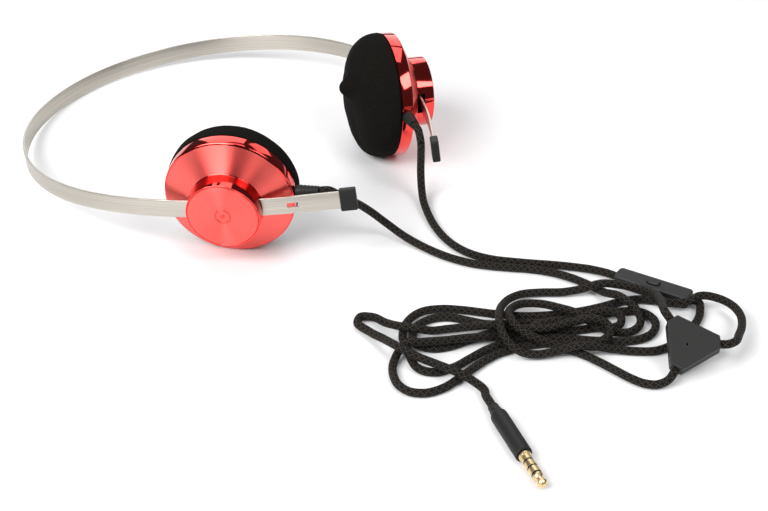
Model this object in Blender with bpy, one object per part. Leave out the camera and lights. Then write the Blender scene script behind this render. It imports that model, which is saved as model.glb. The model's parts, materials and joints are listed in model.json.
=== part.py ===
# On-ear headphones on a thin steel spring band, with a braided cable, lying on a table.
# The band stands on edge, both cups stand on their rims and the crown's lower edge meets the table.
# Metres, +Z up. +Y runs from the band's open end to its crown and X from ear to ear.
# Every part is modelled in the frame of the piece that carries it:
# X runs along the band towards its tip, Z points outwards, away from the head.
import math

import bmesh
import bpy
from mathutils import Matrix, Vector

mm = 0.001
fit_gap = 0.3 * mm  # clearance between neighbouring pieces

# Headband: a steel strip bent on a plane, the same on both sides
band_length = 443.4 * mm
band_height = 6.4 * mm
band_thickness = 0.8 * mm
tip_straight = 18 * mm  # straight end of each leg
leg_radius = 161.6 * mm  # constant, so that a guide slides along it
leg_end = 68 * mm  # arc length from the tip to where the leg's bend tightens
shoulder_start = 110.6 * mm
shoulder_radius = 69.5 * mm
crown_radius = 72.1 * mm
band_step = 5 * mm
crown_place = (0, 82.62 * mm, 3.67 * mm)  # middle of the crown
band_slope = math.radians(-8.5)  # the legs lie higher than the crown
band_roll = math.radians(-1.03)
window_arc = 20.5 * mm  # detent window, from the tip
window_length = 4.2 * mm
window_height = 1.7 * mm

# End caps
cap_length = 5.8 * mm
cap_height = 8 * mm
cap_thickness = 2.8 * mm
cap_overhang = 1 * mm
cap_bevel = 0.5 * mm

# Where each cup is clamped: arc length from the tip and the tilt of its axis out of the band's plane
cup_arc = {"left": 44.6 * mm, "right": 54.8 * mm}
cup_tilt = {"left": math.radians(-9.4), "right": math.radians(-7.5)}
most_tilt = math.radians(11)

# Cup shell, a spun cone with a hub
hub_radius = 13 * mm
hub_face = 4.7 * mm  # outer face of the hub, measured from the band's middle
hub_lip = 0.15 * mm  # how far the cap stands proud of the wall
hub_ledge = 3.55 * mm
hub_wall = 1.4 * mm
lip_wall = 0.55 * mm
cone_top = -1.8 * mm
rim_radius = 23 * mm
rim_front = -6.6 * mm
rim_back = -10.8 * mm
rim_wall = 1.1 * mm
rim_round = 0.5 * mm
cap_disc = 0.95 * mm

# Guide block that rides on the band and turns in the frame inside the cup
guide_length = 19.2 * mm
guide_radius = 5 * mm
guide_front = 2 * mm
guide_back = 2.4 * mm
slot_play = 0.45 * mm
slot_spare = 0.3 * mm
boss_radius = 2.6 * mm
boss_depth = 6.9 * mm
boss_bore = 1.45 * mm
ball_radius = 1.15 * mm

# Frame inside the cup
drum_top = 3.3 * mm
plate_front = -6.3 * mm
plate_back = -7.3 * mm
plate_radius = rim_radius - 4.2 * mm
screw_circle = rim_radius - 5.4 * mm
screw_angles = (60, 180, 300)
pillar_radius = 1.7 * mm
pillar_end = -10.4 * mm
screw_radius = 0.6 * mm
screw_head = 1.4 * mm
screw_head_height = 0.8 * mm

# Baffle, driver and pad
baffle_front = -11.0 * mm
baffle_thickness = 1.2 * mm
baffle_radius = rim_radius - 0.6 * mm
collar_radius = rim_radius - rim_wall - 0.5 * mm
collar_wall = 1 * mm
collar_top = -8.8 * mm
well_radius = 14.8 * mm
well_depth = 2.2 * mm
driver_radius = 14.2 * mm
yoke_radius = 8.1 * mm
yoke_back = -7.7 * mm
magnet_radius = 5.9 * mm
pad_radius = rim_radius + 0.25 * mm
pad_face = -23.6 * mm
nub_height = 2.6 * mm
nub_radius = 4 * mm

# Strain relief at each cup
relief_height = -8.95 * mm  # its axis, behind the band's middle
relief_neck = 1.3 * mm
relief_root = 2.2 * mm
relief_end = 1.65 * mm
relief_length = 31.4 * mm

# Cable: each piece as a list of points along its middle, in millimetres
cord_diameter = 2.8 * mm
cord_step = 6.5 * mm

# Remote control on the right branch
remote_place = (37.2 * mm, -166.88 * mm, 0.1 * mm)
remote_heading = math.radians(-77.5)
remote_length = 27.4 * mm
remote_width = 6.5 * mm
remote_height = 4.2 * mm
remote_wall = 0.8 * mm
button_length = 4.4 * mm
button_width = 2.4 * mm
button_proud = 0.6 * mm
button_travel = 0.35 * mm

# Splitter, a rounded triangle that leans on the bundle
splitter_place = (10.46 * mm, -201.14 * mm, 10.7 * mm)
splitter_lean = math.radians(30)
splitter_lean_heading = math.radians(-136.6)
splitter_turn = math.radians(-29)
splitter_side = 23.5 * mm
splitter_thickness = 5 * mm
splitter_wall = 1.1 * mm
splitter_corner = 4.2 * mm  # width of the flat where a cord leaves a corner
pinhole_place = (1.25 * mm, -0.3 * mm, 0)

# Plug
plug_place = (-50.9 * mm, -170.98 * mm, 2.85 * mm)
plug_heading = math.radians(-117.2)
grip_length = 25.3 * mm
grip_radius = 2.8 * mm
jack_radius = 1.75 * mm
jack_length = 14 * mm
jack_rings = (2.2 * mm, 5.3 * mm, 8.4 * mm)  # insulating rings, from the collar
ring_width = 0.5 * mm
joint_gap = 0.1 * mm

left_branch = [
    (-24.6, -68.9, 27.34), (-22.93, -71.05, 27.7), (-19.8, -72.88, 25.4),
    (-14.5, -73.18, 20.9), (-9.2, -73.38, 16.3), (-4.5, -74.18, 11.6),
    (0.4, -77.48, 5.7), (2.3, -82.88, 2.7), (2.9, -89.78, 1.7), (3.4, -97.28, 1.5),
    (4.6, -104.48, 1.5), (6.9, -111.28, 1.5), (10.3, -117.38, 1.5),
    (14.2, -122.98, 1.5), (18.2, -128.58, 1.5), (21.4, -134.68, 1.5),
    (23.4, -141.58, 1.6), (24.2, -149.08, 1.7), (23, -156.98, 2.8),
    (21.5, -164.58, 5.5), (20.9, -171.98, 4.1), (20.1, -174.08, 3.2),
    (18.7, -175.78, 2.5), (16.8, -176.78, 2.1), (12.5, -176.88, 1.8),
    (7.4, -173.08, 2.3), (4.4, -167.58, 4.2), (3, -160.98, 6.3), (2.1, -153.88, 5.6),
    (1.1, -146.58, 4.2), (0, -144.48, 3.9), (-1.7, -142.78, 3.9), (-4, -141.88, 4.2),
    (-9.3, -142.58, 5.3), (-14.1, -145.98, 7), (-16, -148.28, 7.9),
    (-17.3, -150.68, 7.8), (-17.1, -155.28, 6.1), (-14.1, -161.18, 4),
    (-10.6, -166.48, 2.1), (-8.5, -172.48, 1.5), (-8, -179.38, 1.5),
    (-8, -186.28, 1.5), (-7.9, -193.08, 1.5), (-7.2, -197.28, 1.6), (-5, -200.68, 1.8),
    (-1.44, -202.31, 2.54), (2.31, -202, 4.05),
]
right_branch = [
    (31.26, -61.68, 26.98), (29.26, -65.34, 27.08), (28.3, -67.28, 24.4),
    (29.3, -66.68, 16.9), (29.3, -66.68, 9.4), (28.1, -68.08, 6), (24.2, -72.68, 2.9),
    (21, -77.28, 2), (17.7, -82.58, 1.6), (14.7, -88.28, 1.5), (12.4, -94.18, 1.5),
    (11.1, -99.98, 1.5), (11.4, -108.08, 1.5), (13.8, -114.98, 1.5),
    (17.5, -120.98, 1.5), (21.4, -126.68, 1.5), (25.4, -132.18, 1.5),
    (29, -137.98, 1.6), (32.1, -144.08, 1.8), (33.95, -150.74, 2.09),
    (34.17, -153.21, 2.2),
]
remote_branch = [
    (40.23, -180.55, 2.2), (40.94, -182.64, 2.25), (36.9, -186.78, 1.8),
    (31.1, -189.28, 1.6), (25.1, -190.68, 1.5), (16.6, -191.08, 1.5),
    (9.5, -188.98, 1.5), (4.6, -184.28, 1.6), (0.4, -179.28, 2.1),
    (-4.7, -175.48, 3.9), (-9.8, -171.58, 5), (-14.3, -167.08, 3.1),
    (-19.2, -162.88, 2.2), (-22.2, -159.78, 2.7), (-23.7, -155.78, 4.2),
    (-22.9, -151.18, 6.2), (-19.5, -146.48, 8), (-14.4, -142.18, 6.8),
    (-8.5, -138.58, 4.8), (-2.4, -136.58, 3.3), (3.3, -136.78, 2.3),
    (9.7, -140.68, 1.7), (14.4, -145.78, 1.9), (18.9, -150.58, 3.2),
    (22.6, -155.68, 6), (26.7, -161.28, 5.9), (28.6, -165.58, 6), (28.6, -170.48, 7.1),
    (26.5, -175.48, 8.9), (22.4, -180.28, 11), (17.2, -185.08, 13.1),
    (14.66, -187.65, 13.94), (13.27, -191.22, 12.93),
]
main_cord = [
    (18.52, -207.62, 8.62), (20, -209.18, 8.6), (22.9, -209.78, 8.2),
    (29.5, -207.28, 6.7), (36, -203.98, 5.5), (41.1, -199.68, 5), (43.8, -194.58, 4.9),
    (43.8, -189.58, 5.1), (40, -183.68, 5.4), (36.4, -182.58, 4.8),
    (33.5, -178.98, 3.4), (32, -171.48, 1.8), (28.4, -166.28, 1.6),
    (22.7, -162.88, 1.5), (16.1, -160.08, 1.5), (9.9, -156.88, 1.5),
    (4.2, -153.08, 1.5), (-1, -148.98, 1.5), (-5.7, -144.28, 1.5),
    (-9.7, -138.98, 1.5), (-13, -133.38, 1.5), (-16.5, -127.68, 1.5),
    (-20.7, -122.28, 1.5), (-26.5, -118.48, 1.5), (-31.6, -118.28, 1.5),
    (-36.9, -120.18, 1.5), (-41.7, -123.78, 1.5), (-45.2, -128.98, 1.5),
    (-49.8, -135.98, 1.5), (-50.7, -138.08, 1.5), (-50.8, -140.38, 1.5),
    (-48.9, -144.18, 1.5), (-42.7, -147.08, 1.5), (-35.4, -147.78, 1.5),
    (-28.1, -148.48, 1.5), (-21.3, -150.48, 1.5), (-15.4, -153.78, 1.5),
    (-10, -157.68, 1.5), (-5.7, -162.58, 1.5), (-2.1, -167.88, 1.5),
    (1.8, -173.08, 1.5), (6.2, -177.98, 1.5), (11.9, -181.58, 1.5),
    (16.5, -182.18, 1.5), (21, -180.38, 1.5), (22.7, -178.68, 1.5),
    (23.7, -176.48, 1.5), (24.1, -174.18, 1.5), (23.7, -171.98, 1.5),
    (19.3, -166.88, 1.5), (13.5, -163.08, 1.5), (8, -159.28, 1.5), (2, -155.98, 1.5),
    (-3.5, -152.38, 1.5), (-8.1, -147.58, 1.5), (-13.1, -143.28, 1.5),
    (-17.4, -138.48, 1.5), (-20.1, -132.48, 1.5), (-23.3, -126.58, 1.5),
    (-26.9, -123.88, 1.5), (-31.4, -122.78, 1.5), (-36.3, -123.78, 1.5),
    (-40, -126.88, 1.5), (-41.1, -128.88, 1.5), (-41.3, -131.18, 1.5),
    (-39.6, -135.08, 1.5), (-34.2, -138.78, 1.5), (-27.7, -140.78, 1.5),
    (-21, -142.98, 1.5), (-14.7, -146.08, 1.5), (-9.5, -150.68, 1.5),
    (-6, -156.28, 1.5), (-0.2, -162.38, 1.5), (6.7, -167.28, 1.5), (9.5, -170.38, 1.5),
    (13.1, -171.58, 1.8), (15.7, -169.68, 2.6), (14.8, -166.58, 3.7),
    (9.6, -162.88, 3.9), (3.5, -160.08, 2.7), (-2.6, -157.28, 4.4),
    (-8.8, -154.38, 4.6), (-14, -150.78, 1.8), (-19.4, -147.28, 1.5),
    (-25.2, -144.38, 3.2), (-31.5, -141.28, 4.4), (-37.4, -137.48, 4.7),
    (-42.8, -132.98, 4.7), (-46.8, -129.98, 4.7), (-48.7, -129.48, 3.4),
    (-53.2, -130.78, 1.7), (-59.2, -136.08, 1.5), (-61.7, -140.68, 1.5),
    (-61.8, -145.48, 1.5), (-59.4, -149.18, 1.5), (-53.2, -151.98, 1.5),
    (-45.8, -152.28, 1.5), (-38.1, -151.98, 1.5), (-30.5, -152.18, 1.5),
    (-23.4, -153.68, 1.5), (-17.2, -156.58, 1.5), (-11.8, -160.38, 1.5),
    (-7.6, -165.28, 1.5), (-2.9, -172.18, 2.5), (-0, -174.68, 3.8),
    (3.4, -174.68, 4.9), (5.3, -171.98, 6), (3.8, -168.88, 7.3), (-1.6, -162.68, 5.9),
    (-8.9, -158.58, 5.2), (-13.7, -154.08, 5.2), (-16.9, -148.18, 4.7),
    (-20.6, -142.68, 4.7), (-23.8, -137.08, 2.9), (-28.3, -132.28, 2.1),
    (-34.3, -129.28, 3), (-38.2, -126.88, 4.6), (-40.6, -122.78, 4.7),
    (-40.9, -115.68, 2.9), (-40.7, -108.68, 1.9), (-42.9, -105.78, 1.7),
    (-46, -107.18, 1.7), (-47.6, -114.08, 2.2), (-49, -121.98, 3.8),
    (-51.1, -129.88, 6), (-49.7, -137.68, 4.9), (-48.4, -144.98, 4.8),
    (-47.2, -151.98, 4.8), (-45.2, -158.08, 2.9), (-45.1, -162.38, 1.8),
    (-47.1, -164.68, 2), (-49.3, -167.88, 2.8), (-50.76, -170.71, 2.85),
]


def finish(name, colour, roughness, metallic=0.0):
    material = bpy.data.materials.new(name)
    material.use_nodes = True
    shader = material.node_tree.nodes["Principled BSDF"]
    shader.inputs["Base Color"].default_value = (*colour, 1)
    shader.inputs["Roughness"].default_value = roughness
    shader.inputs["Metallic"].default_value = metallic
    material.diffuse_color = (*colour, 1)
    return material


# Headband curve


def band_bend(arc):
    """Curvature at an arc length from the nearest tip."""
    if arc < tip_straight:
        return 0
    if arc < leg_end:
        return 1 / leg_radius
    if arc < shoulder_start:
        share = (arc - leg_end) / (shoulder_start - leg_end)
        return (1 - share) / leg_radius + share / shoulder_radius
    share = (arc - shoulder_start) / (band_length / 2 - shoulder_start)
    return (1 - share) / shoulder_radius + share / crown_radius


def leg_place(arc):
    """(x, y, heading) of the right leg in the band's plane, from the crown's middle."""
    length = band_length / 2 - arc
    count = max(1, math.ceil(length / mm))
    step = length / count
    x = y = heading = 0
    for i in range(count):
        middle = band_bend(band_length / 2 - (i + 0.5) * step)
        x += math.cos(heading - middle * step / 2) * step
        y += math.sin(heading - middle * step / 2) * step
        heading -= middle * step
    return x, y, heading


def side_sign(side):
    return 1 if side == "right" else -1


band_plane = (
    Matrix.Translation(crown_place)
    @ Matrix.Rotation(band_slope, 4, "X")
    @ Matrix.Rotation(band_roll, 4, "Y")
)


def axes(x_axis, z_axis, place):
    """The frame with these two axes."""
    y_axis = z_axis.cross(x_axis)
    rows = Matrix((x_axis, y_axis, z_axis)).transposed()
    return Matrix.Translation(place) @ rows.to_4x4()


def band_frame(side, arc):
    """Frame on the band's middle line: X towards the tip, Z outwards."""
    x, y, heading = leg_place(arc)
    sign = side_sign(side)
    tipwards = Vector((sign * math.cos(heading), math.sin(heading), 0))
    outwards = Vector((-sign * math.sin(heading), math.cos(heading), 0))
    return band_plane @ axes(tipwards, outwards, (sign * x, y, 0))


# Modelling helpers


def empty(name, frame, parent=None):
    thing = bpy.data.objects.new(name, None)
    thing.empty_display_size = 10 * mm
    bpy.context.collection.objects.link(thing)
    thing.parent = parent
    thing.matrix_local = parent.matrix_world.inverted() @ frame if parent else frame
    bpy.context.view_layer.update()
    return thing


def add(name, shape, material, parent=None, place=None, smooth=True):
    """A new object from a finished bmesh, in its parent's frame."""
    bmesh.ops.recalc_face_normals(shape, faces=shape.faces)
    mesh = bpy.data.meshes.new(name)
    shape.to_mesh(mesh)
    shape.free()
    mesh.materials.append(material)
    if smooth:
        mesh.shade_smooth()
        mesh.set_sharp_from_angle(angle=math.radians(35))
    thing = bpy.data.objects.new(name, mesh)
    bpy.context.collection.objects.link(thing)
    thing.parent = parent
    thing.matrix_local = place or Matrix()
    return thing


def hidden(thing):
    """Marks a cutter or a piece that is only joined to another."""
    thing.hide_render = True
    thing.display_type = "WIRE"
    return thing


def combine(target, other, operation="DIFFERENCE"):
    modifier = target.modifiers.new(other.name, "BOOLEAN")
    modifier.operation = operation
    modifier.object = hidden(other)


def turned(profile, steps):
    """A shape turned about Z from (radius, height) points: closed, or open with both ends on the axis."""
    shape = bmesh.new()
    points = [shape.verts.new((radius, 0, height)) for radius, height in profile]
    edges = [shape.edges.new(pair) for pair in zip(points, points[1:])]
    if profile[0][0] > 0 or profile[-1][0] > 0:
        edges.append(shape.edges.new((points[-1], points[0])))
    bmesh.ops.spin(
        shape,
        geom=points + edges,
        cent=(0, 0, 0),
        axis=(0, 0, 1),
        angle=math.tau,
        steps=steps,
        use_merge=True,
    )
    bmesh.ops.remove_doubles(shape, verts=shape.verts, dist=1e-6)
    bmesh.ops.dissolve_degenerate(shape, edges=shape.edges, dist=1e-6)
    return shape


def drum(radius, low, high, steps=16):
    return turned([(0, low), (radius, low), (radius, high), (0, high)], steps)


def prism(outline, low, high):
    """An outline in XY, extruded along Z."""
    shape = bmesh.new()
    face = shape.faces.new([shape.verts.new((x, y, low)) for x, y in outline])
    raised = bmesh.ops.extrude_face_region(shape, geom=[face])["geom"]
    corners = [part for part in raised if isinstance(part, bmesh.types.BMVert)]
    bmesh.ops.translate(shape, vec=(0, 0, high - low), verts=corners)
    return shape


def block(low, high):
    """A box between two corners."""
    shape = bmesh.new()
    bmesh.ops.create_cube(shape, size=1)
    size = [b - a for a, b in zip(low, high)]
    middle = [(a + b) / 2 for a, b in zip(low, high)]
    bmesh.ops.scale(shape, vec=size, verts=shape.verts)
    bmesh.ops.translate(shape, vec=middle, verts=shape.verts)
    return shape


def turned_by(shape, matrix):
    bmesh.ops.transform(shape, matrix=matrix, verts=shape.verts)
    return shape


def swept(sections):
    """A closed shape through rings of the same number of points."""
    shape = bmesh.new()
    rings = [[shape.verts.new(point) for point in ring] for ring in sections]
    for near, far in zip(rings, rings[1:]):
        for i in range(len(near)):
            j = (i + 1) % len(near)
            shape.faces.new((near[i], near[j], far[j], far[i]))
    shape.faces.new(rings[0])
    shape.faces.new(rings[-1])
    return shape


def rounded(length, width, radius, steps=3):
    """A rectangle's outline with round corners, centred."""
    outline = []
    for quarter in range(4):
        x = (length / 2 - radius) * (1 if quarter in (0, 3) else -1)
        y = (width / 2 - radius) * (1 if quarter < 2 else -1)
        for i in range(steps + 1):
            angle = math.pi / 2 * (quarter + i / steps)
            outline.append((x + radius * math.cos(angle), y + radius * math.sin(angle)))
    return outline


def bevel(thing, width, segments=2):
    modifier = thing.modifiers.new("rounding", "BEVEL")
    modifier.width = width
    modifier.segments = segments


def drums(centres, radius, low, high, steps=12):
    """Several cylinders along Z in one shape."""
    shape = bmesh.new()
    for x, y in centres:
        bmesh.ops.create_cone(
            shape,
            cap_ends=True,
            segments=steps,
            radius1=radius,
            radius2=radius,
            depth=high - low,
            matrix=Matrix.Translation((x, y, (low + high) / 2)),
        )
    return shape


def wire(name, points, radius, material, parent=None, resolution=2):
    """A round wire through these points."""
    curve = bpy.data.curves.new(name, "CURVE")
    curve.dimensions = "3D"
    curve.bevel_depth = radius
    curve.bevel_resolution = resolution
    curve.use_fill_caps = True
    spline = curve.splines.new("POLY")
    spline.points.add(len(points) - 1)
    for point, place in zip(spline.points, points):
        point.co = (*place, 1)
    curve.materials.append(material)
    thing = bpy.data.objects.new(name, curve)
    bpy.context.collection.objects.link(thing)
    thing.parent = parent
    return thing


def on_circle(radius, angles):
    return [(radius * math.cos(a), radius * math.sin(a)) for a in angles]


for thing in list(bpy.data.objects):
    bpy.data.objects.remove(thing)

steel = finish("band_steel", (0.55, 0.52, 0.48), 0.3, 1)
rubber = finish("black_rubber", (0.012, 0.012, 0.013), 0.6)
shell_red = finish("red_aluminium", (0.5, 0.02, 0.025), 0.22, 1)
cap_red = finish("turned_red_aluminium", (0.55, 0.03, 0.03), 0.3, 1)
frame_plastic = finish("frame_plastic", (0.02, 0.02, 0.022), 0.5)
guide_plastic = finish("guide_plastic", (0.03, 0.03, 0.03), 0.4)
small_steel = finish("bright_steel", (0.6, 0.6, 0.6), 0.25, 1)
magnet_metal = finish("plated_magnet", (0.45, 0.45, 0.47), 0.35, 1)
film = finish("driver_film", (0.05, 0.05, 0.06), 0.35)
foam = finish("pad_foam", (0.015, 0.015, 0.016), 0.95)
braid = finish("cord_braid", (0.01, 0.01, 0.011), 0.8)
housing = finish("housing_plastic", (0.018, 0.018, 0.02), 0.45)
laminate = finish("board_laminate", (0.02, 0.12, 0.05), 0.5)
gold = finish("gold_plate", (0.8, 0.55, 0.22), 0.2, 1)
ring_plastic = finish("ring_plastic", (0.01, 0.01, 0.01), 0.35)

# Headband, from the left tip over the crown to the right tip

edge = 0.2 * mm
half_height, half_thickness = band_height / 2, band_thickness / 2
band_outline = [
    (half_height - edge, half_thickness),
    (edge - half_height, half_thickness),
    (-half_height, half_thickness - edge),
    (-half_height, edge - half_thickness),
    (edge - half_height, -half_thickness),
    (half_height - edge, -half_thickness),
    (half_height, edge - half_thickness),
    (half_height, half_thickness - edge),
]
step_count = math.ceil(band_length / 2 / band_step)
arcs = [i * band_length / 2 / step_count for i in range(step_count + 1)]
stations = [("left", arc) for arc in arcs] + [("right", arc) for arc in arcs[-2::-1]]
sections = []
for side, arc in stations:
    frame = band_frame(side, arc)
    sign = side_sign(side)
    sections.append([frame @ Vector((0, -sign * y, z)) for y, z in band_outline])
headband = add("headband", swept(sections), steel)
for side in ("left", "right"):
    window = add(
        f"{side}_window_cutter",
        prism(rounded(window_length, window_height, window_height / 2 - 0.01 * mm, 4), -mm, mm),
        steel,
        place=band_frame(side, window_arc),
    )
    combine(headband, window)

# Rubber cap on each tip

for side in ("left", "right"):
    tip = empty(f"{side}_tip", band_frame(side, 0))
    low = (cap_overhang - cap_length, -cap_height / 2, -cap_thickness / 2)
    high = (cap_overhang, cap_height / 2, cap_thickness / 2)
    end_cap = add(f"{side}_end_cap", block(low, high), rubber, tip)
    bevel(end_cap, cap_bevel)
    pocket = block(
        (-cap_length - mm, -half_height - 0.2 * mm, -half_thickness - 0.2 * mm),
        (0.2 * mm, half_height + 0.2 * mm, half_thickness + 0.2 * mm),
    )
    combine(end_cap, add(f"{side}_pocket_cutter", pocket, rubber, tip))


def build_guide(side, guide):
    """The block that slides on the band, and its spring-loaded ball."""

    def sag(x):
        return -x * x / (2 * leg_radius)

    half = guide_length / 2
    outline = []
    for first, last in ((guide_front, -guide_back), (-guide_back, guide_front)):
        start = math.asin(first / guide_radius)
        stop = math.asin(last / guide_radius)
        if outline:
            start, stop = math.pi - start, math.pi - stop
        for i in range(7):
            angle = start + (stop - start) * i / 6
            outline.append((guide_radius * math.cos(angle), guide_radius * math.sin(angle)))
    body = swept([[(x, y, z) for y, z in outline] for x in (-half, half)])
    body = add(f"{side}_band_guide", body, guide_plastic, guide)
    bevel(body, 0.3 * mm, 1)
    boss = drum(boss_radius, -boss_depth, -guide_back + 0.4 * mm)
    combine(body, add(f"{side}_boss", boss, guide_plastic, guide), "UNION")
    wide = half_height + slot_spare
    tall = half_thickness + slot_play
    slot = [
        [(x, y, sag(x) + z) for y, z in ((wide, tall), (-wide, tall), (-wide, -tall), (wide, -tall))]
        for x in [half * k / 4 for k in range(-5, 6)]
    ]
    combine(body, add(f"{side}_slot_cutter", swept(slot), guide_plastic, guide))
    bore = drum(boss_bore, -boss_depth - mm, -0.6 * mm)
    combine(body, add(f"{side}_bore_cutter", bore, guide_plastic, guide))

    ball_height = -half_thickness - 0.25 * mm - ball_radius
    ball = bmesh.new()
    bmesh.ops.create_icosphere(ball, subdivisions=2, radius=ball_radius)
    add(f"{side}_detent_ball", ball, small_steel, guide, Matrix.Translation((0, 0, ball_height)))

    plug_top = 1.15 * mm - boss_depth
    plug = drum(boss_bore - fit_gap, 0.05 * mm - boss_depth, plug_top, 12)
    plug = add(f"{side}_detent_screw", plug, small_steel, guide)
    cut = block((-mm, -0.2 * mm, -boss_depth - mm), (mm, 0.2 * mm, 0.45 * mm - boss_depth))
    combine(plug, add(f"{side}_screw_slot", cut, small_steel, guide))

    wire_radius = 0.17 * mm
    coil_radius = boss_bore - 0.35 * mm - wire_radius
    low = plug_top + 0.2 * mm + wire_radius
    high = ball_height - ball_radius - 0.15 * mm - wire_radius
    turns, per_turn = 4, 10
    coil = []
    for i in range(turns * per_turn + 1):
        angle = math.tau * i / per_turn
        height = low + (high - low) * i / (turns * per_turn)
        coil.append((coil_radius * math.cos(angle), coil_radius * math.sin(angle), height))
    wire(f"{side}_detent_spring", coil, wire_radius, small_steel, guide, 0)


def build_shell(side, cup):
    inner = hub_radius - hub_wall
    lip_inner = hub_radius - lip_wall
    profile = [
        (lip_inner, hub_face - hub_lip),
        (hub_radius, hub_face - hub_lip),
        (hub_radius, cone_top),
        (rim_radius - 0.6 * mm, rim_front + 0.4 * mm),
        (rim_radius, rim_front),
        (rim_radius, rim_back),
        (rim_radius - rim_wall, rim_back),
        (rim_radius - rim_wall, rim_front - 0.58 * mm),
        (inner, cone_top - 0.56 * mm),
        (inner, hub_ledge),
        (lip_inner, hub_ledge),
    ]
    shell = add(f"{side}_cup_shell", turned(profile, 32), shell_red, cup)
    far = hub_radius + 1.5 * mm
    half = band_height / 2 + 0.4 * mm
    low, high = -band_thickness / 2 - 1.35 * mm, band_thickness / 2 + 0.35 * mm
    slot = block((-far, -half, low), (far, half, high))
    combine(shell, add(f"{side}_hub_slots", slot, shell_red, cup))
    notch = block(
        (rim_radius - 3 * mm, -1.6 * mm, rim_back - mm),
        (rim_radius + mm, 1.6 * mm, relief_height + 1.6 * mm),
    )
    combine(shell, add(f"{side}_relief_notch", notch, shell_red, cup))

    cap_radius = lip_inner - fit_gap
    cap = [
        (0, hub_face - cap_disc),
        (cap_radius, hub_face - cap_disc),
        (cap_radius, hub_face - 0.2 * mm),
        (cap_radius - 0.25 * mm, hub_face),
        (0, hub_face),
    ]
    add(f"{side}_hub_cap", turned(cap, 32), cap_red, cup)


def build_frame(side, cup):
    """The frame that holds the guide, and the small board behind it."""
    drum_radius = hub_radius - hub_wall - fit_gap
    profile = [
        (0, plate_back),
        (plate_radius, plate_back),
        (plate_radius, plate_front),
        (drum_radius, plate_front),
        (drum_radius, drum_top),
        (0, drum_top),
    ]
    body = add(f"{side}_inner_frame", turned(profile, 32), frame_plastic, cup)
    bore = drum(guide_radius + fit_gap, -20 * mm, 20 * mm, 28)
    turned_by(bore, Matrix.Rotation(math.pi / 2, 4, "Y"))
    combine(body, add(f"{side}_cradle_cutter", bore, frame_plastic, cup))
    hole = block((-3.2 * mm, -4.4 * mm, plate_back - mm), (3.2 * mm, 4.4 * mm, 0))
    combine(body, add(f"{side}_boss_cutter", hole, frame_plastic, cup))
    places = on_circle(screw_circle, [math.radians(a) for a in screw_angles])
    pillars = drums(places, pillar_radius, pillar_end, plate_back + 0.3 * mm)
    combine(body, add(f"{side}_pillars", pillars, frame_plastic, cup), "UNION")
    holes = drums(places, screw_radius + 0.25 * mm, pillar_end - mm, plate_back - 0.6 * mm, 8)
    combine(body, add(f"{side}_pillar_holes", holes, frame_plastic, cup))
    board = block(
        (plate_radius - 7.3 * mm, -2.6 * mm, plate_back - 1.25 * mm),
        (plate_radius - mm, 2.6 * mm, plate_back - fit_gap),
    )
    add(f"{side}_terminal_board", board, laminate, cup, smooth=False)


def build_baffle(side, cup):
    back = baffle_front - baffle_thickness
    floor = baffle_front - well_depth
    profile = [
        (0, floor - baffle_thickness),
        (well_radius + 0.4 * mm, floor - baffle_thickness),
        (well_radius + 1.2 * mm, back),
        (baffle_radius, back),
        (baffle_radius, rim_back - fit_gap),
        (collar_radius, rim_back - fit_gap),
        (collar_radius, collar_top),
        (collar_radius - collar_wall, collar_top),
        (collar_radius - collar_wall, baffle_front),
        (well_radius + 0.2 * mm, baffle_front),
        (well_radius - 0.2 * mm, floor),
        (0, floor),
    ]
    body = add(f"{side}_baffle", turned(profile, 32), frame_plastic, cup)
    places = on_circle(screw_circle, [math.radians(a) for a in screw_angles])
    holes = drums(places, screw_radius + fit_gap, back - mm, baffle_front + mm, 8)
    combine(body, add(f"{side}_baffle_holes", holes, frame_plastic, cup))
    places = [(0, 0)] + on_circle(8 * mm, [math.tau * (k + 0.5) / 6 for k in range(6)])
    vents = drums(places, 1.6 * mm, floor - 2 * mm, floor + mm)
    combine(body, add(f"{side}_vents", vents, frame_plastic, cup))
    notch = block(
        (collar_radius - 3 * mm, -1.9 * mm, baffle_front + 0.05 * mm),
        (collar_radius + 0.3 * mm, 1.9 * mm, collar_top + mm),
    )
    combine(body, add(f"{side}_collar_notch", notch, frame_plastic, cup))

    for number, angle in enumerate(screw_angles, 1):
        head = back - fit_gap
        screw = turned(
            [
                (0, head - screw_head_height),
                (screw_head, head - screw_head_height),
                (screw_head, head),
                (screw_radius, head),
                (screw_radius, plate_back - 0.9 * mm),
                (0, plate_back - 0.9 * mm),
            ],
            10,
        )
        turn = Matrix.Rotation(math.radians(angle), 4, "Z")
        place = turn @ Matrix.Translation((screw_circle, 0, 0))
        add(f"{side}_screw_{number}", screw, small_steel, cup, place)


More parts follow.
